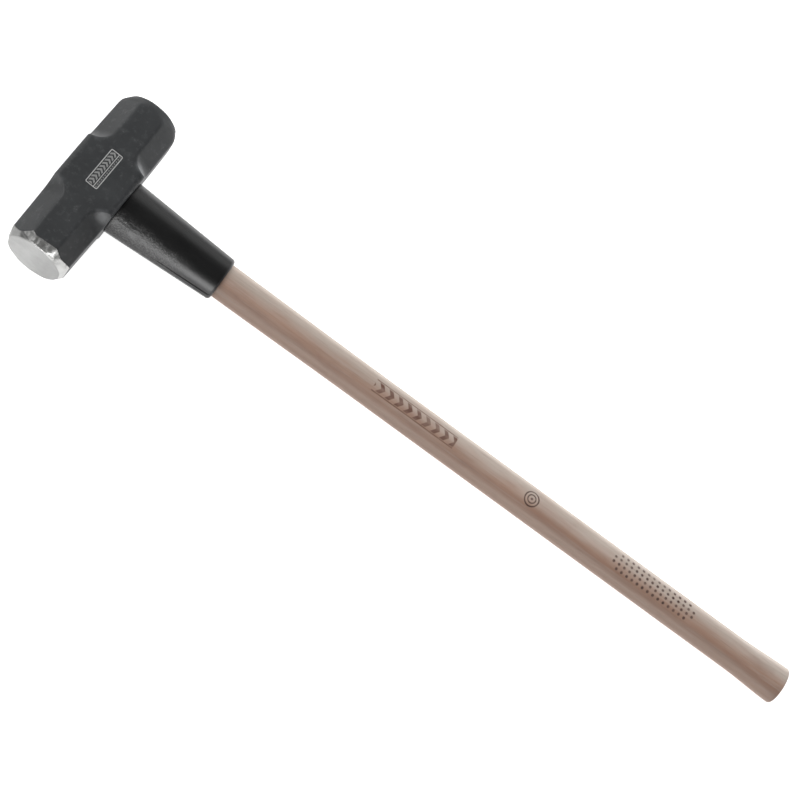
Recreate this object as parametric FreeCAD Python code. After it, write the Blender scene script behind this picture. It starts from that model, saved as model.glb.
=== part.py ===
"""Double-faced sledge hammer, lying on one cheek of its head.

Frame: X runs along the handle from the head to the butt, Y is the strike axis and Z points up out of the
upper cheek. The origin is on the lower cheek's plane, straight below the centre of the eye.
"""
import FreeCAD
import Part
import os
from math import asin, cos, pi, sin, sqrt

V = FreeCAD.Vector

# Driving dimensions, millimetres and degrees.
OVERALL_LENGTH = 900.0

HEAD_LENGTH = 200.0
HEAD_HEIGHT = 70.0
HEAD_THICKNESS = 70.0
BLOCK_HALF_LENGTH = 27.0
CORNER_LEG = 20.0
CORNER_LEG_AT_FACE = 19.4
END_DRAFT = 1.2
RUNOUT_RADIUS = 18.6
FACE_RADIUS = 30.0
GRIND_START = 90.5
GRIND_FACETS = 20
GRIND_TURN_WOBBLE = 0.14
GRIND_PHASE = 1.0
GRIND_RADIUS_WOBBLE = 0.35
GRIND_RUN_WOBBLE = 0.9
GRIND_TURN_STEP = 3.1
GRIND_RADIUS_STEP = 2.3
GRIND_RUN_STEP = 1.7
BLOCK_EDGE_RADIUS = 5.3

# The head hangs this much out of square on its handle, seen from above; 0 hangs it true.
HANG_ANGLE = -2.5

EYE_ENTRY = (18.2, 13.2)
EYE_WAIST = (17.6, 12.6)
EYE_CROWN = (20.4, 15.4)
EYE_WAIST_X = 10.0
EYE_MOUTH = 2.0

NECK = (19.7, 16.1)
GRIP = (18.9, 15.5)
BUTT = (20.9, 17.1)
GRIP_TAPER_LENGTH = 180.0
BUTT_SWELL_LENGTH = 62.0
BUTT_EDGE_RADIUS = 3.0
NECK_TAPER_LENGTH = 26.0
GRIP_STATIONS = 28

SLEEVE_LENGTH = 122.5
SLEEVE_TOP = (30.5, 26.2)
SLEEVE_BOTTOM = (24.1, 20.6)
SLEEVE_RIM_RADIUS = 3.8
SEAM_WIDTH = 1.8
SEAM_RISE = 0.4
SEAM_ROOT = 3.0

KERF_DEPTH = 52.0
KERF_CROWN_WIDTH = 7.0
KERF_TIP_WIDTH = 1.6
STEEL_WEDGE_OFFSET = 9.5
STEEL_WEDGE_DEPTH = 30.0
STEEL_WEDGE_WIDTH = 22.0
STEEL_WEDGE_THICK = 4.2
STEEL_WEDGE_TIP = 0.8

DOT_COLUMNS = 16
DOT_ROWS = 4
DOT_PITCH_X = 6.65
DOT_PITCH_Y = 5.4
DOT_CENTRE_X = 693.6
DOT_CENTRE_Y = 1.1
DOT_RADIUS = 1.4
DOT_DEPTH = 0.3

# Derived positions.
HALF_HEIGHT = HEAD_HEIGHT / 2
AXIS_Z = HEAD_THICKNESS / 2
FACE_Y = HEAD_LENGTH / 2
BUTT_X = OVERALL_LENGTH - HALF_HEIGHT
SLEEVE_END_X = HALF_HEIGHT + SLEEVE_LENGTH
SHOULDER_X = HALF_HEIGHT + EYE_MOUTH
NECK_X = SHOULDER_X + NECK_TAPER_LENGTH

# How far cutting tools reach past the metal, and how closely an edge is located.
CLEAR = 5.0
FLAT_BACK = 20.0
FLAT_LENGTH = 60.0
FLAT_WIDTH = 80.0
FLAT_DEPTH = 30.0
NEAR = 0.01


def oval_wire(x, half_y, half_z):
    """A closed oval across the handle axis at station x."""
    centre = V(x, 0, AXIS_Z)
    ellipse = Part.Ellipse(centre + V(0, half_y, 0), centre + V(0, 0, half_z), centre)
    return Part.Wire(ellipse.toShape())


def oval_loft(stations, ruled=False):
    """A solid through ovals given as (x, half_y, half_z)."""
    return Part.makeLoft([oval_wire(*station) for station in stations], True, ruled)


def polygon_prism(points, direction):
    """A solid swept from a closed polygon."""
    return Part.Face(Part.makePolygon(points + [points[0]])).extrude(direction)


def square_wire(y, half):
    """A square section of the head at station y."""
    corners = [V(sx * half, y, AXIS_Z + sz * half) for sx, sz in ((-1, -1), (1, -1), (1, 1), (-1, 1))]
    return Part.makePolygon(corners + [corners[0]])


def hung(shape):
    """A shape that belongs to the head, turned to the angle at which the head hangs."""
    turned = shape.copy()
    turned.rotate(V(0, 0, 0), V(0, 0, 1), HANG_ANGLE)
    return turned


def head_blank():
    """The forging before its corners are cut: a square block with slightly tapered ends."""
    half = HALF_HEIGHT
    low = V(-half, -BLOCK_HALF_LENGTH, AXIS_Z - half)
    block = Part.makeBox(2 * half, 2 * BLOCK_HALF_LENGTH, 2 * half, low)
    ends = []
    for side in (-1, 1):
        inner = square_wire(side * BLOCK_HALF_LENGTH, half)
        outer = square_wire(side * FACE_Y, half - END_DRAFT)
        ends.append(Part.makeLoft([inner, outer], True, True))
    return block.fuse(ends).removeSplitter()


def corner_cutter(side, sx, sz):
    """The tool that turns one corner of one end into a facet and a swept run-out."""
    root = sqrt(0.5)
    outward = V(sx * root, 0, sz * root)
    across = V(-sx * root, 0, sz * root)
    corner = V(sx * HALF_HEIGHT, 0, AXIS_Z + sz * HALF_HEIGHT)
    depth = CORNER_LEG * root
    depth_at_face = (CORNER_LEG_AT_FACE + 2 * END_DRAFT) * root
    reach = sqrt(RUNOUT_RADIUS ** 2 - (RUNOUT_RADIUS - depth) ** 2)
    foot = BLOCK_HALF_LENGTH + reach

    def at(y, down):
        return corner + V(0, side * y, 0) - outward * down - across * HALF_HEIGHT

    lift_angle = asin(reach / RUNOUT_RADIUS) / 2
    middle_y = foot - RUNOUT_RADIUS * sin(lift_angle)
    middle_down = depth - RUNOUT_RADIUS * (1 - cos(lift_angle))
    top = at(BLOCK_HALF_LENGTH, 0)
    arc = Part.Arc(top, at(middle_y, middle_down), at(foot, depth)).toShape()
    edges = [
        arc,
        Part.makeLine(at(foot, depth), at(FACE_Y + CLEAR, depth_at_face)),
        Part.makeLine(at(FACE_Y + CLEAR, depth_at_face), at(FACE_Y + CLEAR, -CLEAR)),
        Part.makeLine(at(FACE_Y + CLEAR, -CLEAR), at(BLOCK_HALF_LENGTH, -CLEAR)),
        Part.makeLine(at(BLOCK_HALF_LENGTH, -CLEAR), top),
    ]
    return Part.Face(Part.Wire(edges)).extrude(across * HEAD_HEIGHT)


def octagon_reach(angle):
    """How far the octagonal end reaches from the head's axis in one direction."""
    half = HALF_HEIGHT - END_DRAFT
    short = half - CORNER_LEG_AT_FACE
    across = abs(cos(angle))
    up = abs(sin(angle))
    return max(half * across + short * up, short * across + half * up)


def grind_cutters(side):
    """Blocks that leave the hand-ground flats around one striking face, each a little out of true."""
    cutters = []
    for k in range(GRIND_FACETS):
        turn = k + GRIND_TURN_WOBBLE * sin(GRIND_TURN_STEP * k + GRIND_PHASE)
        angle = 2 * pi * turn / GRIND_FACETS
        radius = FACE_RADIUS + GRIND_RADIUS_WOBBLE * sin(GRIND_RADIUS_STEP * k)
        run = FACE_Y - GRIND_START + GRIND_RUN_WOBBLE * sin(GRIND_RUN_STEP * k + 2 * side)
        rise = octagon_reach(angle) - radius
        radial = V(cos(angle), 0, sin(angle))
        tangent = V(-sin(angle), 0, cos(angle))
        toe = V(0, side * FACE_Y, AXIS_Z) + radial * radius
        slope = (V(0, -side * run, 0) + radial * rise).normalize()
        start = toe - slope * FLAT_BACK - tangent * (FLAT_WIDTH / 2)
        outward = tangent.cross(slope) * side
        along = slope * FLAT_LENGTH
        corners = [start, start + along, start + along + tangent * FLAT_WIDTH, start + tangent * FLAT_WIDTH]
        cutters.append(polygon_prism(corners, outward * FLAT_DEPTH))
    return cutters


def eye_tool():
    """What fills the eye, square at the crown: narrowest at the waist, flared to the crown for wedging."""
    mouth = oval_loft([(HALF_HEIGHT, *EYE_ENTRY), (SHOULDER_X, *EYE_ENTRY)], ruled=True)
    lower = oval_loft([(EYE_WAIST_X, *EYE_WAIST), (HALF_HEIGHT, *EYE_ENTRY)], ruled=True)
    upper = oval_loft([(-HALF_HEIGHT, *EYE_CROWN), (EYE_WAIST_X, *EYE_WAIST)], ruled=True)
    return lower.fuse([upper, mouth])


def eye_opening():
    """The hole through the head: the eye carried on past the crown, which is not quite square to it."""
    past = oval_loft([(-HALF_HEIGHT - CLEAR, *EYE_CROWN), (-HALF_HEIGHT, *EYE_CROWN)], ruled=True)
    return eye_tool().fuse(past)


def make_head():
    """The forging with its facets, run-outs, ground faces and eye."""
    head = head_blank()
    for side in (-1, 1):
        for sx in (-1, 1):
            for sz in (-1, 1):
                head = head.cut(corner_cutter(side, sx, sz))
    block_edges = []
    for edge in head.Edges:
        middle = edge.valueAt((edge.FirstParameter + edge.LastParameter) / 2)
        off_x = abs(abs(middle.x) - HALF_HEIGHT)
        off_z = abs(abs(middle.z - AXIS_Z) - HALF_HEIGHT)
        if max(off_x, off_z, abs(middle.y)) < NEAR:
            block_edges.append(edge)
    head = head.makeFillet(BLOCK_EDGE_RADIUS, block_edges)
    for side in (-1, 1):
        for cutter in grind_cutters(side):
            head = head.cut(cutter)
    return hung(head).cut(eye_opening())


def crown_trim():
    """Everything past the crown, where the handle and its wedges are sawn flush with the head."""
    return hung(Part.makeBox(2 * CLEAR, HEAD_LENGTH, HEAD_THICKNESS, V(-HALF_HEIGHT - 2 * CLEAR, -FACE_Y, 0)))


def taper_half(crown_width, tip_width, depth):
    """Half the thickness of a wedge where it stands past the crown, before it is sawn flush."""
    return crown_width / 2 + (crown_width - tip_width) / 2 / depth * CLEAR


def kerf_wedge():
    """The taper that fills the kerf, wider than the eye and thinning away from the crown."""
    top = taper_half(KERF_CROWN_WIDTH, KERF_TIP_WIDTH, KERF_DEPTH)
    tip = KERF_TIP_WIDTH / 2
    half = EYE_CROWN[0] + CLEAR
    x0 = -HALF_HEIGHT - CLEAR
    x1 = -HALF_HEIGHT + KERF_DEPTH
    section = [V(x0, -half, AXIS_Z - top), V(x1, -half, AXIS_Z - tip), V(x1, -half, AXIS_Z + tip),
               V(x0, -half, AXIS_Z + top)]
    return polygon_prism(section, V(0, 2 * half, 0))


def steel_wedge(side):
    """A thin steel wedge driven across the timber one, flush with the crown."""
    y = side * STEEL_WEDGE_OFFSET
    x0 = -HALF_HEIGHT - CLEAR
    x1 = -HALF_HEIGHT + STEEL_WEDGE_DEPTH
    half = STEEL_WEDGE_WIDTH / 2
    top = taper_half(STEEL_WEDGE_THICK, STEEL_WEDGE_TIP, STEEL_WEDGE_DEPTH)
    tip = STEEL_WEDGE_TIP / 2
    section = [V(x0, y - top, AXIS_Z - half), V(x1, y - tip, AXIS_Z - half), V(x1, y + tip, AXIS_Z - half),
               V(x0, y + top, AXIS_Z - half)]
    return polygon_prism(section, V(0, 0, 2 * half)).cut(crown_trim())


def blend(start, end, t):
    """Smooth step from one pair of half-widths to another as t runs from 0 to 1."""
    t = min(max(t, 0.0), 1.0)
    t = t * t * (3 - 2 * t)
    return tuple(a + (b - a) * t for a, b in zip(start, end))


def grip_section(x):
    """Half-widths of the hickory at station x, outside the head."""
    slim = blend(NECK, GRIP, (x - SLEEVE_END_X) / GRIP_TAPER_LENGTH)
    return blend(slim, BUTT, (x - BUTT_X + BUTT_SWELL_LENGTH) / (BUTT_SWELL_LENGTH - BUTT_EDGE_RADIUS))


def handle_outside():
    """The hickory outside the head: neck, slim grip, swelled and rounded butt."""
    shoulder = oval_loft([(SHOULDER_X, *EYE_ENTRY), (NECK_X, *NECK)], ruled=True)
    step = (BUTT_X - NECK_X) / GRIP_STATIONS
    stations = [NECK_X + k * step for k in range(GRIP_STATIONS + 1)]
    grip = oval_loft([(x, *grip_section(x)) for x in stations])
    end_edges = [edge for edge in grip.Edges if edge.BoundBox.XMin > BUTT_X - CLEAR]
    grip = grip.makeFillet(BUTT_EDGE_RADIUS, end_edges)
    return shoulder.fuse(grip)


def dot_cutters():
    """Shallow burnt dimples on the upper side, the two outer rows one column shorter at each end."""
    cutters = []
    lift = (DOT_RADIUS ** 2 - DOT_DEPTH ** 2) / (2 * DOT_DEPTH)
    half_y, half_z = GRIP
    for row in range(DOT_ROWS):
        outer = row in (0, DOT_ROWS - 1)
        columns = range(1, DOT_COLUMNS - 1) if outer else range(DOT_COLUMNS)
        y = DOT_CENTRE_Y + (row - (DOT_ROWS - 1) / 2) * DOT_PITCH_Y
        height = half_z * sqrt(1 - (y / half_y) ** 2)
        normal = V(0, y / half_y ** 2, height / half_z ** 2).normalize()
        for column in columns:
            x = DOT_CENTRE_X + (column - (DOT_COLUMNS - 1) / 2) * DOT_PITCH_X
            cutters.append(Part.makeSphere(lift + DOT_DEPTH, V(x, y, AXIS_Z + height) + normal * lift))
    return cutters


def make_handle(kerf, wedges):
    """The handle through the eye, with its kerf, wedge slots and dimples."""
    handle = eye_opening().fuse(handle_outside()).removeSplitter()
    handle = handle.cut(crown_trim()).cut(kerf)
    for wedge in wedges:
        handle = handle.cut(wedge)
    return handle.cut(Part.makeCompound(dot_cutters()))


def make_sleeve():
    """The moulded collar: a tapered oval tube with a rounded rim and two seam ribs, seated on the head."""
    lean = [(top - bottom) / SLEEVE_LENGTH for top, bottom in zip(SLEEVE_TOP, SLEEVE_BOTTOM)]
    start = HALF_HEIGHT - CLEAR
    wide = [top + slope * CLEAR for top, slope in zip(SLEEVE_TOP, lean)]
    body = oval_loft([(start, *wide), (SLEEVE_END_X, *SLEEVE_BOTTOM)], ruled=True)
    rim = [edge for edge in body.Edges if edge.BoundBox.XMin > SLEEVE_END_X - CLEAR]
    body = body.makeFillet(SLEEVE_RIM_RADIUS, rim)
    for side in (-1, 1):
        inner = side * (SLEEVE_BOTTOM[0] - SEAM_ROOT)
        x1 = SLEEVE_END_X - SLEEVE_RIM_RADIUS
        rib = [V(start, inner, 0), V(start, side * (wide[0] + SEAM_RISE), 0),
               V(x1, side * (SLEEVE_BOTTOM[0] + SEAM_RISE), 0), V(x1, inner, 0)]
        lifted = [point + V(0, 0, AXIS_Z - SEAM_WIDTH / 2) for point in rib]
        body = body.fuse(polygon_prism(lifted, V(0, 0, SEAM_WIDTH)))
    seat = Part.makeBox(HEAD_HEIGHT, HEAD_LENGTH, HEAD_THICKNESS, V(-HALF_HEIGHT, -FACE_Y, 0))
    return body.removeSplitter().cut([hung(seat), eye_tool(), handle_outside()])


def main():
    os.makedirs("parts", exist_ok=True)
    kerf = kerf_wedge()
    front = steel_wedge(-1)
    rear = steel_wedge(1)
    nodes = {
        "head": make_head(),
        "handle": make_handle(kerf, (front, rear)),
        "overstrike_sleeve": make_sleeve(),
        "timber_wedge": eye_opening().common(kerf).cut([front, rear, crown_trim()]),
        "steel_wedge_front": front,
        "steel_wedge_rear": rear,
    }
    for name, shape in nodes.items():
        solids = shape.Solids
        print(name, len(solids), "solids", shape.isValid(), round(shape.Volume), shape.optimalBoundingBox())
        solid = solids[0] if len(solids) == 1 else shape
        solid.exportStep(f"parts/{name}.step")


main()
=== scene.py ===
"""Double-faced sledge hammer lying on one cheek of its head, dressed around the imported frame.

Frame, in metres: X runs along the handle from the head to the butt, Y is the strike axis and Z points up out
of the upper cheek. The axis of the handle and of the head lies half a head's thickness above Z = 0.
"""
from math import atan, cos, pi, radians, sin, sqrt, tan

import bmesh
import bpy
import numpy as np
from mathutils import Matrix, Vector


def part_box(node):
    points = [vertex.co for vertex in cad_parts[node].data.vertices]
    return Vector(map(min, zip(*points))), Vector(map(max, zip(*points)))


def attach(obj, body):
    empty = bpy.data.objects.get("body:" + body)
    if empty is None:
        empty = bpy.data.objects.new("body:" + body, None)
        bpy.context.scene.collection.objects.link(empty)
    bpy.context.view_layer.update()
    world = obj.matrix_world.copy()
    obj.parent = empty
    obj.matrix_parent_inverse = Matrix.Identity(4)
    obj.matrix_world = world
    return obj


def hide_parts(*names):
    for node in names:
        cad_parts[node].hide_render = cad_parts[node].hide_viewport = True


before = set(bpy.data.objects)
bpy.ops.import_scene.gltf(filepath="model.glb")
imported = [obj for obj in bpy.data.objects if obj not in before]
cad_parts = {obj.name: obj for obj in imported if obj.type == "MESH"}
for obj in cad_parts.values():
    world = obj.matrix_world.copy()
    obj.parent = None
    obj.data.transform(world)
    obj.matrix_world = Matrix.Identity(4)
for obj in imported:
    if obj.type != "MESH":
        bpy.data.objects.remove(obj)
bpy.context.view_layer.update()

MM = 0.001
ROOT = sqrt(0.5)
MERGE_DISTANCE = 0.002 * MM

# Read from the frame.
HEAD_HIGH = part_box("head")[1]
HANDLE_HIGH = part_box("handle")[1]
SLEEVE_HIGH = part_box("overstrike_sleeve")[1]
AXIS_Z = HEAD_HIGH.z / 2
HALF = AXIS_Z
CROWN_X = -HALF
BUTT_X = HANDLE_HIGH.x
SLEEVE_START_X = HALF
SLEEVE_END_X = SLEEVE_HIGH.x

# The head, as the solid has it.
FACE_Y = 100 * MM
HANG_ANGLE = radians(-2.5)
BLOCK_HALF_LENGTH = 27 * MM
CORNER_LEG = 20 * MM
CORNER_LEG_AT_FACE = 19.4 * MM
END_DRAFT = 1.2 * MM
RUNOUT_RADIUS = 18.6 * MM
FACE_RADIUS = 30 * MM
GRIND_START = 90.5 * MM
GRIND_FACETS = 20
GRIND_TURN_WOBBLE = 0.14
GRIND_PHASE = 1.0
GRIND_RADIUS_WOBBLE = 0.35 * MM
GRIND_RUN_WOBBLE = 0.9 * MM
GRIND_TURN_STEP = 3.1
GRIND_RADIUS_STEP = 2.3
GRIND_RUN_STEP = 1.7
EYE_ENTRY = (18.2 * MM, 13.2 * MM)
EYE_WAIST = (17.6 * MM, 12.6 * MM)
EYE_CROWN = (20.4 * MM, 15.4 * MM)
EYE_WAIST_X = 10 * MM
EYE_MOUTH = 2 * MM

# The head's finer shape.
FORGED_SOFTNESS = 0.42 * MM
GROUND_SOFTNESS = {-1: 0.35 * MM, 1: 1.5 * MM}
RIM_SOFTNESS = {-1: 0.02 * MM, 1: 0.8 * MM}
BLOCK_CORNER_FLAT = 2.2 * MM
FACE_CROWN = 0.4 * MM
FACE_EDGE = 0.7 * MM
FORGING_WAVE = 0.05 * MM
BRIGHT_RIM = 0.8 * MM
SURELY_BARE = 6 * MM
EYE_BREAK = 0.3 * MM

# Where the head's skin is looked for, and where its points lie closer.
SKIN_SEARCH = (5 * MM, 60 * MM)
SKIN_SEARCH_STEPS = 40
RUNOUT_ZONE = (24 * MM, 47 * MM)
GRIND_ZONE_START = 88 * MM

# The handle and wedges, as the solids have them.
NECK = (19.7 * MM, 16.1 * MM)
GRIP = (18.9 * MM, 15.5 * MM)
BUTT = (20.9 * MM, 17.1 * MM)
NECK_TAPER_LENGTH = 26 * MM
GRIP_TAPER_LENGTH = 180 * MM
BUTT_SWELL_LENGTH = 62 * MM
BUTT_EDGE_RADIUS = 3 * MM
KERF_DEPTH = 52 * MM
KERF_CROWN_WIDTH = 7 * MM
KERF_TIP_WIDTH = 1.6 * MM
STEEL_WEDGE_OFFSET = 9.5 * MM
STEEL_WEDGE_DEPTH = 30 * MM
STEEL_WEDGE_WIDTH = 22 * MM
STEEL_WEDGE_THICK = 4.2 * MM
STEEL_WEDGE_TIP = 0.8 * MM
DOT_COLUMNS = 16
DOT_ROWS = 4
DOT_PITCH_X = 6.65 * MM
DOT_PITCH_Y = 5.4 * MM
DOT_CENTRE_X = 693.6 * MM
DOT_CENTRE_Y = 1.1 * MM
DOT_RADIUS = 1.4 * MM
DOT_DEPTH = 0.3 * MM

# The handle's and wedges' finer shape.
HAND_WORK = 0.06 * MM
DOTTED_ARC = radians(58)
BURN_SPREAD = 1.25
BURN_EDGE = 0.4 * MM
HANDLE_INSET = 0.3 * MM
WEDGE_INSET = 0.1 * MM
WEDGE_EDGE = 0.35 * MM
TOOL_REACH = 2 * MM

# The sleeve, as the solid has it.
SLEEVE_TOP = (30.5 * MM, 26.2 * MM)
SLEEVE_BOTTOM = (24.1 * MM, 20.6 * MM)
SLEEVE_RIM_RADIUS = 3.8 * MM
SLEEVE_GAP = 0.1 * MM
SEAM_HALF_WIDTH = 0.9 * MM
SEAM_RISE = 0.4 * MM

# The sleeve's finer shape.
SLEEVE_START_RADIUS = 0.8 * MM
SEAM_SLOPE = 0.3 * MM
GROOVE_HEIGHT = 4.6 * MM
GROOVE_HALF_WIDTH = 0.8 * MM
GROOVE_DEPTH = 1.2 * MM
GROOVE_START_X = SLEEVE_START_X + 0.45 * (SLEEVE_END_X - SLEEVE_START_X)
GROOVE_RUN_IN = 6 * MM

# Marks drawn on the surfaces.
PLATE_CENTRE = (-0.5 * MM, 6.7 * MM)
PLATE_HALF = (6.7 * MM, 22 * MM)
PLATE_LINE = 0.36 * MM
PLATE_CORNER = 1.4 * MM
PLATE_DIVIDER = 2.6 * MM
PLATE_CHEVRON_PITCH = 4.4 * MM
PLATE_TICK_PITCH = 3.1 * MM
BAND_CENTRE_X = 391.4 * MM
BAND_HALF_LENGTH = 50.8 * MM
BAND_HALF_HEIGHT = 7 * MM
BAND_CHEVRON_PITCH = 11.4 * MM
ROUNDEL_X = 538.4 * MM
ROUNDEL_RADIUS = 8.5 * MM

# Colours of each material, linear. A pair is the two ends of a range.
PAINT = ((0.021, 0.0225, 0.024), (0.030, 0.032, 0.034))
PAINT_SPECK = (0.075, 0.078, 0.082)
PAINT_BLOTCH = (0.075, 0.078, 0.08)
PAINT_SCUFF = (0.2, 0.2, 0.2)
PAINT_CREST_HIGHLIGHT = (0.075, 0.079, 0.083)
PAINT_RUNOUT_SCUFF_AND_HIGHLIGHT = (0.17, 0.175, 0.18)
PAINT_SHOULDER_SHADE = (0.012, 0.013, 0.014)
ETCHED = (0.55, 0.55, 0.54)
STEEL_DISC = ((0.33, 0.33, 0.327), (0.41, 0.41, 0.405))
STEEL_SHADED = (0.25, 0.25, 0.247)
STEEL_GROUND_SHADED = ((0.52, 0.52, 0.51), (0.22, 0.22, 0.217))
STEEL_SCRATCH = (0.30, 0.30, 0.29)
HEARTWOOD = ((0.42, 0.25, 0.18), (0.51, 0.33, 0.25))
HEARTWOOD_PATCH = (0.36, 0.21, 0.16)
SAPWOOD_AND_SHEEN = ((0.50, 0.425, 0.365), (0.58, 0.51, 0.455))
SAPWOOD_PATCH = (0.42, 0.30, 0.24)
WOOD_STREAK = (0.56, 0.47, 0.41)
WOOD_NEAR_SIDE_SHADE = (0.36, 0.25, 0.19)
WOOD_FIBRE = (0.27, 0.17, 0.13)
WOOD_PORE = (0.17, 0.095, 0.07)
GROWTH_RING = ((0.42, 0.30, 0.22), (0.27, 0.165, 0.11))
END_PORE = (0.15, 0.085, 0.06)
END_OILED = (0.16, 0.10, 0.07)
BURN_LIGHT = ((0.20, 0.105, 0.075), (0.12, 0.06, 0.045))
BURN_DEEP = (0.085, 0.048, 0.038)
RUBBER = ((0.005, 0.005, 0.0051), (0.008, 0.008, 0.0081))
RUBBER_WORN_AND_GLINT = (0.12, 0.12, 0.118)
RUBBER_GROOVE_SHADE = (0.002, 0.002, 0.002)
OAK = ((0.24, 0.165, 0.105), (0.38, 0.275, 0.18))
OAK_PORE = (0.14, 0.085, 0.05)
MILL_SCALE = ((0.11, 0.105, 0.10), (0.34, 0.33, 0.32))
RUST = (0.09, 0.055, 0.04)
FLOOR_WHITE = ((0.86, 0.86, 0.86), (0.88, 0.88, 0.88))
WHITE = (1.0, 1.0, 1.0, 1.0)


# ---------------------------------------------------------------- meshes

def add_object(name, vertices, faces, attributes=None):
    """A mesh object, shaded smooth, from arrays of points and lists of faces."""
    mesh = bpy.data.meshes.new(name)
    mesh.from_pydata(np.asarray(vertices).reshape(-1, 3).tolist(), [], faces)
    mesh.polygons.foreach_set("use_smooth", [True] * len(mesh.polygons))
    for key, values in (attributes or {}).items():
        layer = mesh.attributes.new(key, "FLOAT", "POINT")
        layer.data.foreach_set("value", np.asarray(values, np.float32).ravel())
    thing = bpy.data.objects.new(name, mesh)
    bpy.context.scene.collection.objects.link(thing)
    return thing


def ring_faces(rings, around, close_rings=False):
    """Quads between neighbouring rings of points, each ring closed on itself."""
    faces = []
    last = rings if close_rings else rings - 1
    for i in range(last):
        here = i * around
        there = ((i + 1) % rings) * around
        for j in range(around):
            k = (j + 1) % around
            faces.append((here + j, here + k, there + k, there + j))
    return faces


def capped_tube(name, rings, start, end, attributes=None):
    """A closed skin through rings of points, with a fan to one point at each end."""
    count, around = rings.shape[:2]
    points = np.concatenate([rings.reshape(-1, 3), [start], [end]])
    faces = ring_faces(count, around)
    first = count * around
    last_ring = (count - 1) * around
    for j in range(around):
        k = (j + 1) % around
        faces.append((first, k, j))
        faces.append((first + 1, last_ring + j, last_ring + k))
    return add_object(name, points, faces, attributes)


def cut(thing, tool, operation="DIFFERENCE"):
    """Boolean of one mesh by another, kept in the mesh; the tool is removed."""
    modifier = thing.modifiers.new("cut", "BOOLEAN")
    modifier.operation = operation
    modifier.solver = "EXACT"
    modifier.object = tool
    settle(thing)
    bpy.data.objects.remove(tool)


def settle(thing):
    """Keeps the result of an object's modifiers as its mesh."""
    graph = bpy.context.evaluated_depsgraph_get()
    mesh = bpy.data.meshes.new_from_object(thing.evaluated_get(graph))
    thing.modifiers.clear()
    thing.data = mesh


def finish_mesh(thing, sharp_degrees=40):
    """Merges doubled points, turns the faces outward and keeps the hard edges hard."""
    shape = bmesh.new()
    shape.from_mesh(thing.data)
    bmesh.ops.remove_doubles(shape, verts=shape.verts, dist=MERGE_DISTANCE)
    bmesh.ops.dissolve_degenerate(shape, dist=MERGE_DISTANCE / 2, edges=shape.edges)
    bmesh.ops.recalc_face_normals(shape, faces=shape.faces)
    shape.to_mesh(thing.data)
    shape.free()
    thing.data.set_sharp_from_angle(angle=radians(sharp_degrees))


def spans(*parts):
    """Increasing values from (start, end, count) parts, without the last end."""
    return np.concatenate([np.linspace(start, end, count, endpoint=False) for start, end, count in parts])


def soft_max(levels, softness):
    """The largest of several levels, with the corners between them rounded."""
    levels = np.array(levels)
    top = levels.max(axis=0)
    return top + softness * np.log(np.exp((levels - top) / softness).sum(axis=0))


# ---------------------------------------------------------------- head

def facet_depth(along):
    """How deep the corner facet lies below the square corner, at a distance from the head's middle."""
    depth = CORNER_LEG * ROOT
    depth_at_face = (CORNER_LEG_AT_FACE + 2 * END_DRAFT) * ROOT
    foot = BLOCK_HALF_LENGTH + sqrt(RUNOUT_RADIUS ** 2 - (RUNOUT_RADIUS - depth) ** 2)
    slope = (depth_at_face - depth) / (FACE_Y - foot)
    back = np.clip(foot - along, 0, foot - BLOCK_HALF_LENGTH)
    arc = depth - RUNOUT_RADIUS + np.sqrt(RUNOUT_RADIUS ** 2 - back ** 2)
    swept = np.where(along < foot, arc, depth + slope * (along - foot))
    return np.maximum(swept, BLOCK_CORNER_FLAT)


def painted_level(x, y, z):
    """Signed distance outside the forging: square block, drafted ends, corner facets and run-outs."""
    along = np.abs(y)
    draft = END_DRAFT * np.clip((along - BLOCK_HALF_LENGTH) / (FACE_Y - BLOCK_HALF_LENGTH), 0, 1)
    crown = np.abs(x) - HALF + draft
    cheek = np.abs(z) - HALF + draft
    facet = (np.abs(x) + np.abs(z)) * ROOT - (2 * HALF * ROOT - facet_depth(along))
    level = soft_max([crown, cheek, facet], FORGED_SOFTNESS)
    # Three slow waves of unrelated lengths keep the forging from being perfectly flat.
    wave = np.sin(x * 71 + y * 113 + 1) + np.sin(z * 97 - y * 63 + 2) + np.sin(y * 151 + x * 47 - z * 59)
    return level + FORGING_WAVE * (wave / 3 + 1)


def octagon_reach(angle):
    """How far the octagonal end reaches from the head's axis in one direction."""
    half = HALF - END_DRAFT
    short = half - CORNER_LEG_AT_FACE
    across = abs(cos(angle))
    up = abs(sin(angle))
    return max(half * across + short * up, short * across + half * up)


def grind_flats(side):
    """The hand-ground flats around one striking face: direction, radius at the face, and slope."""
    flats = []
    for k in range(GRIND_FACETS):
        turn = k + GRIND_TURN_WOBBLE * sin(GRIND_TURN_STEP * k + GRIND_PHASE)
        angle = 2 * pi * turn / GRIND_FACETS
        radius = FACE_RADIUS + GRIND_RADIUS_WOBBLE * sin(GRIND_RADIUS_STEP * k)
        run = FACE_Y - GRIND_START + GRIND_RUN_WOBBLE * sin(GRIND_RUN_STEP * k + 2 * side)
        flats.append((angle, radius, (octagon_reach(angle) - radius) / run))
    return flats


def ground_level(x, y, z, flats, softness):
    """Signed distance outside the ground flats of one end."""
    levels = []
    for angle, radius, slope in flats:
        reach = x * cos(angle) + z * sin(angle) - radius - slope * (FACE_Y - np.abs(y))
        levels.append(reach * cos(atan(slope)))
    return soft_max(levels, softness)


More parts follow.
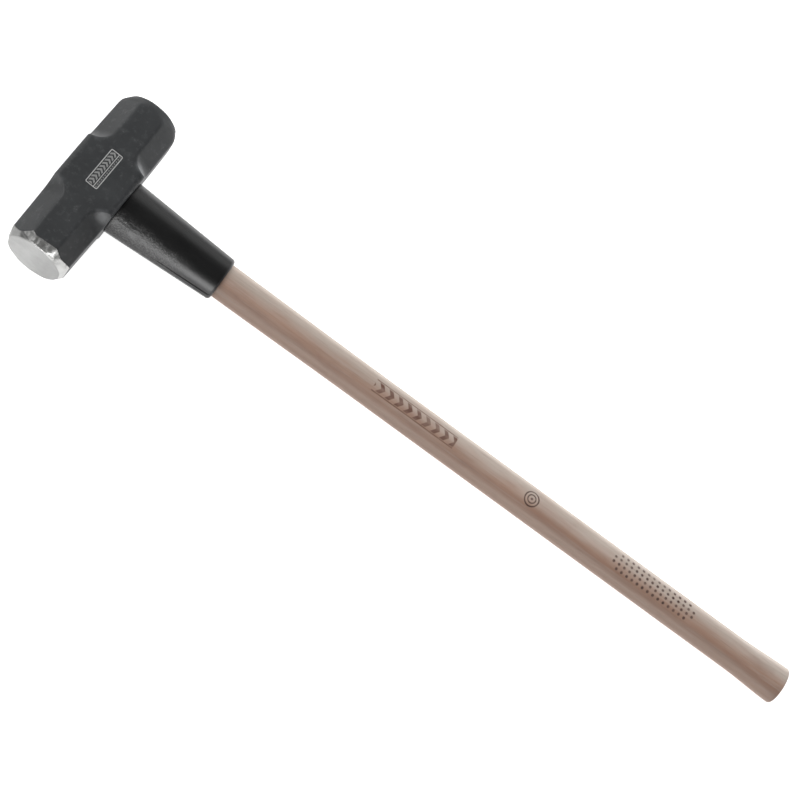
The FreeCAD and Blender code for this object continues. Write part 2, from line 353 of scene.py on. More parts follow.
def head_skin(side, y, around, flats):
    """X and Z of the head's skin in each direction round its axis, found by halving the search."""
    turn_x = np.cos(around)[None, :]
    turn_z = np.sin(around)[None, :]
    low = np.full(y.shape, SKIN_SEARCH[0])
    high = np.full(y.shape, SKIN_SEARCH[1])
    for _ in range(SKIN_SEARCH_STEPS):
        middle = (low + high) / 2
        x = middle * turn_x
        z = middle * turn_z
        ground = ground_level(x, y, z, flats, GROUND_SOFTNESS[side])
        level = soft_max([painted_level(x, y, z), ground], RIM_SOFTNESS[side])
        low = np.where(level < 0, middle, low)
        high = np.where(level < 0, high, middle)
    return low * turn_x, low * turn_z


def head_rings(side, around):
    """Rings of points from the head's middle to the rim of one striking face, and how bare each point is."""
    rim = FACE_Y - FACE_CROWN
    stations = spans((0, RUNOUT_ZONE[0], 7), (*RUNOUT_ZONE, 40), (RUNOUT_ZONE[1], GRIND_ZONE_START, 14),
                     (GRIND_ZONE_START, rim, 34))
    stations = np.append(stations, rim)
    flats = grind_flats(side)
    y = side * stations[:, None] * np.ones(len(around))
    x, z = head_skin(side, y, around, flats)
    bare = ground_level(x, y, z, flats, GROUND_SOFTNESS[side]) - painted_level(x, y, z)
    if side > 0:
        bare = np.abs(y) - rim + BRIGHT_RIM
    return np.stack([x, y, z + AXIS_Z], axis=-1), bare


def face_rings(rim, side):
    """Rings that round the rim of a striking face over and close its slightly crowned disc."""
    edge_rise = 0.3
    edge_lean = 0.2
    rings = []
    centre = np.array([0, 0, AXIS_Z])
    radius = np.linalg.norm((rim - centre)[:, [0, 2]], axis=1)[:, None]
    spoke = (rim - centre) * [1, 0, 1] / radius
    for turn in (0.35, 0.7, 1.05, 1.4):
        inset = FACE_EDGE * (1 - cos(turn))
        drop = FACE_EDGE * sin(turn)
        y = abs(rim[0, 1]) + edge_rise * drop
        rings.append(centre + spoke * (radius - inset - edge_lean * drop) + [0, side * y, 0])
    inner = radius - FACE_EDGE
    edge_y = abs(rim[0, 1]) + edge_rise * FACE_EDGE
    for share in (0.94, 0.86, 0.76, 0.64, 0.5, 0.36, 0.22, 0.1):
        y = edge_y + (FACE_CROWN - edge_rise * FACE_EDGE) * (1 - share ** 2)
        rings.append(centre + spoke * inner * share + [0, side * y, 0])
    return np.array(rings)


def eye_cutter():
    """The tapered oval hole through the head, with a small break at its crown edge."""
    around = np.linspace(0, 2 * pi, 120, endpoint=False)
    past = 3 * MM
    stations = [(CROWN_X - past, EYE_CROWN, past), (CROWN_X + EYE_BREAK, EYE_CROWN, 0),
                (EYE_WAIST_X, EYE_WAIST, 0), (HALF, EYE_ENTRY, 0), (HALF + past, EYE_ENTRY, 0)]
    rings = np.array([oval(x, half, around, grow) for x, half, grow in stations])
    return capped_tube("eye_cutter", rings, (CROWN_X - past, 0, AXIS_Z), (HALF + past, 0, AXIS_Z))


def oval(x, half, around, grow=0.0):
    """A ring of points across the handle axis."""
    return np.stack([np.full(len(around), x), (half[0] + grow) * np.cos(around),
                     AXIS_Z + (half[1] + grow) * np.sin(around)], axis=-1)


def lean(y, side):
    """X from a square head's side to the turned head's, at y; side is 1 at the handle and -1 at the crown."""
    return side * (HALF / cos(HANG_ANGLE) - HALF) - y * tan(HANG_ANGLE)


def make_head():
    """The forged head with soft octagonal ends, run-outs, ground faces and its eye."""
    around = np.linspace(0, 2 * pi, 256, endpoint=False)
    near, near_bare = head_rings(-1, around)
    far, far_bare = head_rings(1, around)
    near_face = face_rings(near[-1], -1)
    far_face = face_rings(far[-1], 1)
    rings = np.concatenate([near_face[::-1], near[::-1], far[1:], far_face])
    disc = np.full(near_face.shape[:2], SURELY_BARE)
    bare = np.concatenate([disc, near_bare[::-1], far_bare[1:], disc]).ravel()
    bare = np.append(bare, [SURELY_BARE, SURELY_BARE])
    head = capped_tube("forged_head", rings, (0, -FACE_Y, AXIS_Z), (0, FACE_Y, AXIS_Z), {"bare": bare})
    head.data.transform(Matrix.Rotation(HANG_ANGLE, 4, "Z"))
    cut(head, eye_cutter())
    finish_mesh(head)
    return head


# ---------------------------------------------------------------- handle and wedges

def blend(start, end, t):
    """Smooth step from one pair of half-widths to another as t runs from 0 to 1."""
    t = min(max(t, 0.0), 1.0)
    t = t * t * (3 - 2 * t)
    return tuple(a + (b - a) * t for a, b in zip(start, end))


def straight(start, end, t):
    """Even step from one pair of half-widths to another as t runs from 0 to 1."""
    return tuple(a + (b - a) * t for a, b in zip(start, end))


def handle_section(x):
    """Half-widths of the hickory at station x, from the crown to the butt."""
    if x < EYE_WAIST_X:
        return straight(EYE_CROWN, EYE_WAIST, (x - CROWN_X) / (EYE_WAIST_X - CROWN_X))
    if x < HALF:
        return straight(EYE_WAIST, EYE_ENTRY, (x - EYE_WAIST_X) / (HALF - EYE_WAIST_X))
    if x < HALF + EYE_MOUTH + NECK_TAPER_LENGTH:
        return straight(EYE_ENTRY, NECK, max(0.0, (x - HALF - EYE_MOUTH) / NECK_TAPER_LENGTH))
    slim = blend(NECK, GRIP, (x - SLEEVE_END_X) / GRIP_TAPER_LENGTH)
    return blend(slim, BUTT, (x - BUTT_X + BUTT_SWELL_LENGTH) / (BUTT_SWELL_LENGTH - BUTT_EDGE_RADIUS))


def dot_places():
    """Centres of the burnt dimples, seen from above; the outer rows are one column shorter at each end."""
    places = []
    for row in range(DOT_ROWS):
        outer = row in (0, DOT_ROWS - 1)
        for column in range(1, DOT_COLUMNS - 1) if outer else range(DOT_COLUMNS):
            x = DOT_CENTRE_X + (column - (DOT_COLUMNS - 1) / 2) * DOT_PITCH_X
            places.append((x, DOT_CENTRE_Y + (row - (DOT_ROWS - 1) / 2) * DOT_PITCH_Y))
    return places


def press_dots(rings):
    """Sinks the dimples into the rings and returns how burnt each point is."""
    burnt = np.zeros(rings.shape[:2])
    upper = rings[..., 2] > AXIS_Z
    for x, y in dot_places():
        away = np.hypot(rings[..., 0] - x, rings[..., 1] - y)
        bowl = np.clip(1 - (away / DOT_RADIUS) ** 2, 0, 1) * upper
        rings[..., 2] -= DOT_DEPTH * bowl
        burnt = np.maximum(burnt, np.clip((DOT_RADIUS * BURN_SPREAD - away) / BURN_EDGE, 0, 1) * upper)
    return burnt


def kerf_prism():
    """The taper that fills the kerf, wider than the eye."""
    half = EYE_CROWN[0] + 5 * MM
    crown_half = (half, KERF_CROWN_WIDTH / 2)
    tip_half = (half, KERF_TIP_WIDTH / 2)
    return taper("kerf", KERF_DEPTH, crown_half, tip_half, 0, TOOL_REACH)


def steel_prism(name, side, past=0.0):
    """One steel wedge, driven across the timber one."""
    crown_half = (STEEL_WEDGE_THICK / 2, STEEL_WEDGE_WIDTH / 2)
    tip_half = (STEEL_WEDGE_TIP / 2, STEEL_WEDGE_WIDTH / 2)
    return taper(name, STEEL_WEDGE_DEPTH, crown_half, tip_half, side * STEEL_WEDGE_OFFSET, past)


def taper(name, depth, crown_half, tip_half, y, past):
    """A four-sided taper from the crown inward; a cutting tool reaches past the crown."""
    slope = [(a - b) / depth for a, b in zip(crown_half, tip_half)]
    past_half = [a + b * past for a, b in zip(crown_half, slope)]
    corners = []
    for x, half in ((CROWN_X - past, past_half), (CROWN_X + depth, tip_half)):
        for sy, sz in ((-1, -1), (1, -1), (1, 1), (-1, 1)):
            corners.append((x, y + sy * half[0], AXIS_Z + sz * half[1]))
    faces = [(0, 1, 2, 3), (7, 6, 5, 4), (0, 4, 5, 1), (1, 5, 6, 2), (2, 6, 7, 3), (3, 7, 4, 0)]
    return add_object(name, corners, faces)


def handle_rings():
    """Rings of points from the crown to the middle of the rounded butt, closest where the dimples are."""
    around = spans((DOTTED_ARC, pi - DOTTED_ARC, 52), (pi - DOTTED_ARC, 2 * pi + DOTTED_ARC, 76))
    zone = DOT_COLUMNS / 2 * DOT_PITCH_X
    round_x = BUTT_X - BUTT_EDGE_RADIUS
    stations = spans((CROWN_X + HANDLE_INSET, EYE_WAIST_X, 10), (EYE_WAIST_X, DOT_CENTRE_X - zone, 150),
                     (DOT_CENTRE_X - zone, DOT_CENTRE_X + zone, 264), (DOT_CENTRE_X + zone, round_x, 36))
    rings = [oval(x, handle_section(x), around) for x in stations]
    for turn in np.linspace(0, pi / 2, 9):
        inset = BUTT_EDGE_RADIUS * (cos(turn) - 1)
        rings.append(oval(round_x + BUTT_EDGE_RADIUS * sin(turn), BUTT, around, inset))
    flat = [half - BUTT_EDGE_RADIUS for half in BUTT]
    for share in (0.85, 0.65, 0.45, 0.25):
        rings.append(oval(BUTT_X, [half * share for half in flat], around))
    rings = np.array(rings)
    # Past the sleeve, hand work has left slow waves in the wood.
    wander = np.sin(rings[..., 0] * 37) * np.cos(3 * around)[None, :]
    rings[..., 2] += HAND_WORK * (wander * np.clip((rings[..., 0] - SLEEVE_END_X) / (60 * MM), 0, 1))
    return rings


def make_handle():
    """The hickory from the crown to the rounded butt, with kerf, wedge slots and dimples."""
    rings = handle_rings()
    burnt = np.append(press_dots(rings).ravel(), [0, 0])
    # End grain shows on the butt's five flat rings, the crown's first ring and both centre points.
    end_grain = np.zeros(rings.shape[:2])
    end_grain[-5:] = 1
    end_grain[0] = 1
    end_grain = np.append(end_grain.ravel(), [1, 1])
    start = (CROWN_X + HANDLE_INSET, 0, AXIS_Z)
    end = (BUTT_X, 0, AXIS_Z)
    handle = capped_tube("hickory_handle", rings, start, end, {"burnt": burnt, "end_grain": end_grain})
    cut(handle, kerf_prism())
    for side in (-1, 1):
        cut(handle, steel_prism("slot", side, TOOL_REACH))
    finish_mesh(handle)
    dress_flush(handle)
    return handle


def make_timber_wedge():
    """The timber wedge across the eye, split by the steel ones."""
    wedge = kerf_prism()
    wedge.name = "oak_wedge"
    around = np.linspace(0, 2 * pi, 120, endpoint=False)
    start = CROWN_X + WEDGE_INSET
    end = CROWN_X + KERF_DEPTH + 1 * MM
    stations = [(start, EYE_CROWN), (EYE_WAIST_X, EYE_WAIST), (end, EYE_WAIST)]
    rings = np.array([oval(x, half, around) for x, half in stations])
    eye = capped_tube("eye_inside", rings, (start, 0, AXIS_Z), (end, 0, AXIS_Z))
    cut(wedge, eye, "INTERSECT")
    for side in (-1, 1):
        cut(wedge, steel_prism("slot", side, TOOL_REACH))
    finish_mesh(wedge, 30)
    dress_flush(wedge)
    return wedge


def make_steel_wedge(name, side):
    """A steel wedge with broken edges."""
    wedge = steel_prism(name, side)
    bevel = wedge.modifiers.new("edges", "BEVEL")
    bevel.width = WEDGE_EDGE
    bevel.segments = 3
    settle(wedge)
    finish_mesh(wedge, 30)
    dress_flush(wedge)
    return wedge


def dress_flush(thing):
    """Leans the crown end of a piece flush with the head, which hangs out of square on the handle."""
    for vertex in thing.data.vertices:
        near = min(max(1 - (vertex.co.x - CROWN_X) / KERF_DEPTH, 0.0), 1.0)
        vertex.co.x += near * lean(vertex.co.y, -1)


# ---------------------------------------------------------------- sleeve

def sleeve_half(x):
    """Outer half-widths of the sleeve at station x."""
    return straight(SLEEVE_TOP, SLEEVE_BOTTOM, (x - SLEEVE_START_X) / (SLEEVE_END_X - SLEEVE_START_X))


def seam_height(rings):
    """Height of the parting line above the sleeve: a low rib, and a groove that runs out at the rim."""
    above = rings[..., 2] - AXIS_Z
    rib = np.clip((SEAM_HALF_WIDTH - np.abs(above)) / SEAM_SLOPE, 0, 1)
    groove = np.clip(1.3 - np.abs(above - GROOVE_HEIGHT) / GROOVE_HALF_WIDTH, 0, 1)
    groove = groove * np.clip((rings[..., 0] - GROOVE_START_X) / GROOVE_RUN_IN, 0, 1)
    return SEAM_RISE * rib * rib * (3 - 2 * rib) - GROOVE_DEPTH * groove


def sleeve_outside(around):
    """Rings of points along the outside, rounded over at both ends, with the parting line on them."""
    rings = []
    for turn in np.linspace(-pi / 2, 0, 5):
        x = SLEEVE_START_X + SLEEVE_START_RADIUS * (1 + sin(turn))
        rings.append(oval(x, sleeve_half(x), around, SLEEVE_START_RADIUS * (cos(turn) - 1)))
    round_x = SLEEVE_END_X - SLEEVE_RIM_RADIUS
    for x in np.linspace(SLEEVE_START_X + SLEEVE_START_RADIUS, round_x, 60)[1:-1]:
        rings.append(oval(x, sleeve_half(x), around))
    for turn in np.linspace(0, pi / 2, 9):
        x = round_x + SLEEVE_RIM_RADIUS * sin(turn)
        rings.append(oval(x, sleeve_half(round_x), around, SLEEVE_RIM_RADIUS * (cos(turn) - 1)))
    rings = np.array(rings)
    fade = np.clip((SLEEVE_END_X - 0.5 * MM - rings[..., 0]) / (2 * MM), 0, 1)
    radial = (rings - [0, 0, AXIS_Z]) * [0, 1, 1]
    radial = radial / np.linalg.norm(radial, axis=-1, keepdims=True)
    return rings + radial * (seam_height(rings) * fade)[..., None]


def make_sleeve():
    """The moulded collar: a tapered oval tube whose bore fits the neck, seated on the turned head."""
    fine = radians(9)
    around = spans((-fine, fine, 40), (fine, pi - fine, 60), (pi - fine, pi + fine, 40),
                   (pi + fine, 2 * pi - fine, 60))
    stations = np.linspace(SLEEVE_END_X, SLEEVE_START_X, 20)
    bore = np.array([oval(x, handle_section(x), around, SLEEVE_GAP) for x in stations])
    rings = np.concatenate([sleeve_outside(around), bore])
    near_head = np.clip(1 - (rings[..., 0] - SLEEVE_START_X) / (20 * MM), 0, 1)
    rings[..., 0] += near_head * lean(rings[..., 1], 1)
    faces = ring_faces(len(rings), len(around), close_rings=True)
    sleeve = add_object("rubber_collar", rings, faces)
    finish_mesh(sleeve)
    return sleeve


# ---------------------------------------------------------------- shading tools

class Field:
    """A number that varies over a surface, written with ordinary arithmetic."""

    def __init__(self, tree, socket):
        self.tree = tree
        self.socket = socket

    def math(self, operation, *others):
        """The result of one arithmetic node, with this as its first input."""
        node = self.tree.nodes.new("ShaderNodeMath")
        node.operation = operation
        for place, value in enumerate((self,) + others):
            plug(self.tree, value, node.inputs[place])
        return Field(self.tree, node.outputs[0])

    def __add__(self, other):
        return self.math("ADD", other)

    def __sub__(self, other):
        return self.math("SUBTRACT", other)

    def __mul__(self, other):
        return self.math("MULTIPLY", other)

    def __truediv__(self, other):
        return self.math("DIVIDE", other)

    def __abs__(self):
        return self.math("ABSOLUTE")

    def rise(self, low, high):
        """0 below low, 1 above high and a smooth step between."""
        node = self.tree.nodes.new("ShaderNodeMapRange")
        node.interpolation_type = "SMOOTHSTEP"
        plug(self.tree, self, node.inputs["Value"])
        node.inputs["From Min"].default_value = low
        node.inputs["From Max"].default_value = high
        return Field(self.tree, node.outputs["Result"])

    def fall(self, low, high):
        """1 below low, 0 above high and a smooth step between."""
        return (self.rise(low, high) * -1) + 1

    def between(self, low, high):
        """A number between two numbers: low where this is 0, high where it is 1."""
        return self * (high - low) + low


def plug(tree, value, socket):
    """Sets a socket from a field, another socket or a plain value."""
    if isinstance(value, Field):
        tree.links.new(value.socket, socket)
    elif isinstance(value, bpy.types.NodeSocket):
        tree.links.new(value, socket)
    else:
        socket.default_value = value


class Surface:
    """One material's node tree, with short calls for what the materials here need."""

    def __init__(self, name):
        self.material = bpy.data.materials.new(name)
        self.material.use_nodes = True
        self.tree = self.material.node_tree
        self.shader = self.tree.nodes["Principled BSDF"]
        self.place = self.tree.nodes.new("ShaderNodeTexCoord").outputs["Object"]

    def set(self, **values):
        """Sets the shader's inputs, named in lower case with underscores."""
        for key, value in values.items():
            plug(self.tree, value, self.shader.inputs[key.replace("_", " ").title().replace("Ior", "IOR")])

    def turn(self, angle):
        """Takes the coordinates of a piece that was turned about the vertical back to its own axes."""
        node = self.tree.nodes.new("ShaderNodeVectorRotate")
        node.rotation_type = "Z_AXIS"
        node.inputs["Angle"].default_value = -angle
        plug(self.tree, self.place, node.inputs["Vector"])
        self.place = node.outputs[0]

    def axes(self):
        """The three coordinates of the object's own frame."""
        node = self.tree.nodes.new("ShaderNodeSeparateXYZ")
        plug(self.tree, self.place, node.inputs[0])
        return [Field(self.tree, output) for output in node.outputs]

    def attribute(self, name):
        """A value stored on the mesh's points."""
        node = self.tree.nodes.new("ShaderNodeAttribute")
        node.attribute_name = name
        return Field(self.tree, node.outputs["Fac"])

    def stretched(self, scale):
        """The object's coordinates, scaled along each axis."""
        node = self.tree.nodes.new("ShaderNodeVectorMath")
        node.operation = "MULTIPLY"
        plug(self.tree, self.place, node.inputs[0])
        node.inputs[1].default_value = scale
        return node.outputs[0]

    def noise(self, scale, detail=3.0, rough=0.5, warp=0.0, shift=0.0):
        """Noise from 0 to 1; scale is cycles per metre, one number or one for each axis."""
        if not hasattr(scale, "__len__"):
            scale = (scale, scale, scale)
        node = self.tree.nodes.new("ShaderNodeTexNoise")
        node.noise_dimensions = "4D"
        plug(self.tree, self.stretched(scale), node.inputs["Vector"])
        node.inputs["W"].default_value = shift
        node.inputs["Scale"].default_value = 1.0
        node.inputs["Detail"].default_value = detail
        node.inputs["Roughness"].default_value = rough
        node.inputs["Distortion"].default_value = warp
        return Field(self.tree, node.outputs["Fac"])

    def mix(self, share, first, second):
        """A colour between two colours."""
        node = self.tree.nodes.new("ShaderNodeMix")
        node.data_type = "RGBA"
        plug(self.tree, share, node.inputs[0])
        plug(self.tree, opaque(first), node.inputs[6])
        plug(self.tree, opaque(second), node.inputs[7])
        return node.outputs[2]

    def bump(self, height, distance, strength=1.0, below=None):
        """A normal tilted by a height from 0 to 1 over a distance in metres."""
        node = self.tree.nodes.new("ShaderNodeBump")
        node.inputs["Strength"].default_value = strength
        node.inputs["Distance"].default_value = distance
        plug(self.tree, height, node.inputs["Height"])
        if below is not None:
            plug(self.tree, below, node.inputs["Normal"])
        return node.outputs[0]

    def paint(self, thing):
        """Makes this the object's only material."""
        thing.data.materials.clear()
        thing.data.materials.append(self.material)


def opaque(colour):
    """A colour with its alpha, or a socket as it is."""
    return (*colour, 1.0) if isinstance(colour, tuple) else colour


# ---------------------------------------------------------------- materials

def plate_mark(x, y, z):
    """The etched plate on the cheek: a divided frame, chevrons toward the crown, ticks toward the handle."""
    across = x - PLATE_CENTRE[0]
    along = y - PLATE_CENTRE[1]
    from_divider = across - PLATE_DIVIDER
    out_x = (abs(across) - (PLATE_HALF[0] - PLATE_CORNER)).math("MAXIMUM", 0.0)
    out_y = (abs(along) - (PLATE_HALF[1] - PLATE_CORNER)).math("MAXIMUM", 0.0)
    edge = (out_x * out_x + out_y * out_y).math("SQRT") - PLATE_CORNER
    outline = abs(edge).fall(PLATE_LINE, PLATE_LINE * 1.5)
    inside = edge.fall(-1.6 * MM, -1.2 * MM)
    divider = edge.fall(-0.3 * MM, 0.0) * abs(from_divider).fall(PLATE_LINE * 0.8, PLATE_LINE * 1.3)
    upper = from_divider.fall(-1.6 * MM, -1.2 * MM)
    lower = from_divider.rise(1.2 * MM, 1.5 * MM)
    middle = (PLATE_DIVIDER - PLATE_HALF[0]) / 2
    chevron = ((along + abs(across - middle) * 0.8) / PLATE_CHEVRON_PITCH).math("FRACT")
    tick = (along / PLATE_TICK_PITCH).math("FRACT")
    motif = upper * abs(chevron - 0.5).fall(0.25, 0.31)
    motif = motif + lower * abs(tick - 0.5).fall(0.24, 0.32) * 0.7
    mark = (outline + divider + motif * inside).math("MINIMUM", 1.0)
    return mark * z.rise(2 * AXIS_Z - 2 * MM, 2 * AXIS_Z - 1 * MM)


def runout_scuff_and_highlight(x, y, z):
    """Where two of the run-outs meet the block, beside the handle: a scuffed patch that is also a painted
    highlight.
    """
    off_x = x - (HALF - 8 * MM)
    off_y = abs(y) - (BLOCK_HALF_LENGTH + 6 * MM)
    off_z = z - (2 * AXIS_Z - 6 * MM)
    away = (off_x * off_x + off_y * off_y * 3.0 + off_z * off_z).math("SQRT")
    return away.fall(3 * MM, 12 * MM)


def head_paint(s, place, broad, blotch, shoulder):
    """Satin dark grey: speckled and scuffed, with painted highlights along its crests and on a scuffed
    run-out patch, and painted shade at the far shoulder.
    """
    x, y, z = place
    grain = s.noise(1100, 3, 0.6, shift=3)
    paint = s.mix(broad.rise(0.3, 0.7), *PAINT)
    paint = s.mix(grain.rise(0.55, 0.8) * 0.35, paint, PAINT_SPECK)
    paint = s.mix(blotch.rise(0.5, 0.68) * 0.3, paint, PAINT_BLOTCH)
    scuff = blotch.rise(0.56, 0.68) * s.noise(700, 2, 0.7, shift=5).rise(0.54, 0.66)
    paint = s.mix(scuff * 0.35, paint, PAINT_SCUFF)
    # Painted highlight: the paint is made paler along the crests of the corner facets past the block.
    crest_highlight = (abs(x) + abs(z - AXIS_Z)).rise(2 * HALF - 17 * MM, 2 * HALF - 8 * MM)
    crest_highlight = crest_highlight * abs(y).rise(BLOCK_HALF_LENGTH - 2 * MM, BLOCK_HALF_LENGTH + 2 * MM)
    paint = s.mix(crest_highlight * blotch.rise(0.2, 0.6) * 0.5, paint, PAINT_CREST_HIGHLIGHT)
    # A pale scuff on the run-outs beside the handle, painted paler still as a painted highlight.
    paint = s.mix(runout_scuff_and_highlight(x, y, z) * blotch.rise(0.25, 0.5) * 0.9, paint, PAINT_RUNOUT_SCUFF_AND_HIGHLIGHT)
    # Painted shade: the paint is made darker at the far shoulder.
    return s.mix(shoulder * 0.6, paint, PAINT_SHOULDER_SHADE)


def head_steel(s, x, broad, blotch, scratch, chamfer):
    """Bare steel: a disc with painted shade toward the handle, and a ground chamfer with painted shade toward
    the crown.
    """
    disc = s.mix(broad.rise(0.3, 0.7), *STEEL_DISC)
    # Painted shade: the disc is made darker toward the handle.
    shade_toward_handle = (x + (blotch - 0.5) * (40 * MM)).rise(-8 * MM, 26 * MM)
    disc = s.mix(shade_toward_handle * 0.7, disc, STEEL_SHADED)
    # Painted shade: the ground chamfer is made darker toward the crown and paler toward the handle.
    ground = s.mix(x.fall(-20 * MM, -2 * MM), *STEEL_GROUND_SHADED)
    steel = s.mix(chamfer, disc, ground)
    return s.mix(scratch.rise(0.45, 0.75) * 0.4, steel, STEEL_SCRATCH)


def head_material():
    """Satin dark grey paint with an etched mark, over bare ground steel at both striking faces."""
    s = Surface("painted_forging")
    s.turn(HANG_ANGLE)
    x, y, z = s.axes()
    broad = s.noise(28, 4, 0.6)
    blotch = s.noise(160, 4, 0.65, shift=7)
    scratch = s.noise((90, 1300, 90), 3, 0.6, shift=11)
    # The far shoulder: rougher paint there, and painted shade in head_paint.
    shoulder = y.rise(FACE_Y - 14 * MM, FACE_Y - 7 * MM)
    mark = plate_mark(x, y, z) * s.noise(1500, 2, 0.6, shift=13).rise(0.2, 0.5)
    paint = s.mix(mark, head_paint(s, (x, y, z), broad, blotch, shoulder), ETCHED)
    ragged = (s.noise(420, 3, 0.6, shift=17) - 0.5) * (0.5 * MM)
    bare = (s.attribute("bare") + ragged).rise(-0.04 * MM, 0.08 * MM)
    chamfer = abs(y).fall(FACE_Y - 1.3 * MM, FACE_Y - 0.6 * MM) * bare
    steel = head_steel(s, x, broad, blotch, scratch, chamfer)
    s.set(base_color=s.mix(bare, paint, steel), metallic=bare)
    rough_paint = blotch.between(0.40, 0.56) + mark * 0.15 + shoulder * 0.15
    rough_steel = scratch.between(0.34, 0.48) - chamfer * 0.08
    s.set(roughness=rough_paint + bare * (rough_steel - rough_paint), specular_ior_level=0.5)
    peel = s.bump(s.noise(700, 2, 0.5, shift=19) * (bare * -1 + 1), 0.05 * MM, 0.5)
    lines = s.bump(scratch * bare, 0.03 * MM, 0.6, peel)
    waves = s.noise((150, 100, 150), 1, 0.4, shift=23) * chamfer
    s.set(normal=s.bump(waves, 1.7 * MM, 0.8, lines))
    return s


def burnt_band(x, y):
    """A band of chevrons burnt into the upper side of the handle."""
    across = y / BAND_HALF_HEIGHT
    along = x - BAND_CENTRE_X
    chevron = ((along + abs(y) * 0.75) / BAND_CHEVRON_PITCH).math("FRACT")
    strokes = abs(chevron - 0.5).fall(0.2, 0.24)
    rails = abs(abs(across) - 0.93).fall(0.05, 0.09)
    inside = abs(across).fall(0.74, 0.8)
    ends = abs(along).fall(BAND_HALF_LENGTH - 0.4 * MM, BAND_HALF_LENGTH)
    return (strokes * inside + rails).math("MINIMUM", 1.0) * ends


def burnt_roundel(x, y):
    """Two rings and a dot burnt into the upper side of the handle."""
    along = x - ROUNDEL_X
    away = (along * along + y * y).math("SQRT")
    outer = abs(away - (ROUNDEL_RADIUS - 0.7 * MM)).fall(0.6 * MM, 0.9 * MM)
    inner = abs(away - 0.52 * ROUNDEL_RADIUS).fall(0.55 * MM, 0.85 * MM)
    return (outer + inner + away.fall(1.2 * MM, 1.6 * MM)).math("MINIMUM", 1.0)


def long_grain(s, y, fine, pore):
    """The sides of the handle: pink heartwood toward the near side, darkened there as painted shade, and pale
    sapwood toward the far side, partly a painted sheen.
    """
    broad = s.noise((5, 70, 70), 3, 0.55, 0.4)
    streak = s.noise((9, 260, 260), 4, 0.6, 0.3, shift=2)
    patch = s.noise((22, 60, 60), 3, 0.6, 0.6, shift=12)
    heart = s.mix(broad.rise(0.3, 0.7), *HEARTWOOD)
    heart = s.mix(patch.rise(0.5, 0.7) * 0.4, heart, HEARTWOOD_PATCH)
    # Pale sapwood on the far side, made paler and greyer as a painted sheen.
    sap_and_sheen = s.mix(broad.rise(0.3, 0.7), *SAPWOOD_AND_SHEEN)
    sap_and_sheen = s.mix(patch.rise(0.5, 0.7) * 0.3, sap_and_sheen, SAPWOOD_PATCH)
    border = y + (s.noise((16, 50, 50), 4, 0.65, shift=14) - 0.5) * (18 * MM)
    wood = s.mix(border.rise(-11 * MM, 9 * MM), heart, sap_and_sheen)
    wood = s.mix(streak.rise(0.45, 0.75) * 0.45, wood, WOOD_STREAK)
    # Painted shade: the near side is made darker and warmer.
    wood = s.mix(y.fall(-17 * MM, -8 * MM) * 0.55, wood, WOOD_NEAR_SIDE_SHADE)
    wood = s.mix(fine.rise(0.45, 0.75) * 0.45, wood, WOOD_FIBRE)
    return s.mix(pore.rise(0.66, 0.74) * 0.5, wood, WOOD_PORE)


def growth_rings(s, x, y, z):
    """The ends of the handle: arcs round a pith outside the wood, with open pores, darker at the crown."""
    pith_y = 52 * MM
    pith_z = -6 * MM
    ring_width = 2.3 * MM
    from_pith = ((y - pith_y) * (y - pith_y) + (z - pith_z) * (z - pith_z)).math("SQRT")
    wander = (s.noise(90, 3, 0.5, shift=8) - 0.5) * (2.4 * MM)
    growth = ((from_pith + wander) / ring_width).math("FRACT")
    ends = s.mix(growth.rise(0.1, 0.85) * growth.fall(0.92, 1.0), *GROWTH_RING)
    ends = s.mix(s.noise(1700, 2, 0.5, shift=9).rise(0.58, 0.68) * 0.45, ends, END_PORE)
    return s.mix(x.fall(0.0, 1 * MM) * 0.45, ends, END_OILED)


def handle_material():
    """Clear-sealed hickory with long grain, open pores, burnt marks and end grain at both ends."""
    s = Surface("sealed_hickory")
    x, y, z = s.axes()
    fine = s.noise((30, 1500, 1500), 3, 0.6, shift=4)
    pore = s.noise((60, 2200, 2200), 2, 0.5, shift=6)
    wood = s.mix(s.attribute("end_grain"), long_grain(s, y, fine, pore), growth_rings(s, x, y, z))
    top = z.rise(AXIS_Z, AXIS_Z + 2 * MM)
    band = burnt_band(x, y) * top
    deep = (burnt_roundel(x, y) * top + s.attribute("burnt")).math("MINIMUM", 1.0)
    strength = s.noise((45, 160, 160), 3, 0.6, shift=10).rise(0.35, 0.65).between(0.65, 1.0)
    wood = s.mix(band * strength, wood, s.mix(fine, *BURN_LIGHT))
    wood = s.mix(deep * strength, wood, BURN_DEEP)
    s.set(base_color=wood, roughness=fine.between(0.42, 0.6), specular_ior_level=0.3)
    s.set(coat_weight=0.05, coat_roughness=0.3, sheen_weight=0.3, sheen_roughness=0.45)
    relief = s.bump(fine, 0.05 * MM, 0.6)
    relief = s.bump(pore, 0.04 * MM, 0.5, relief)
    s.set(normal=s.bump((band + deep) * -1, 0.12 * MM, 0.8, relief))
    return s


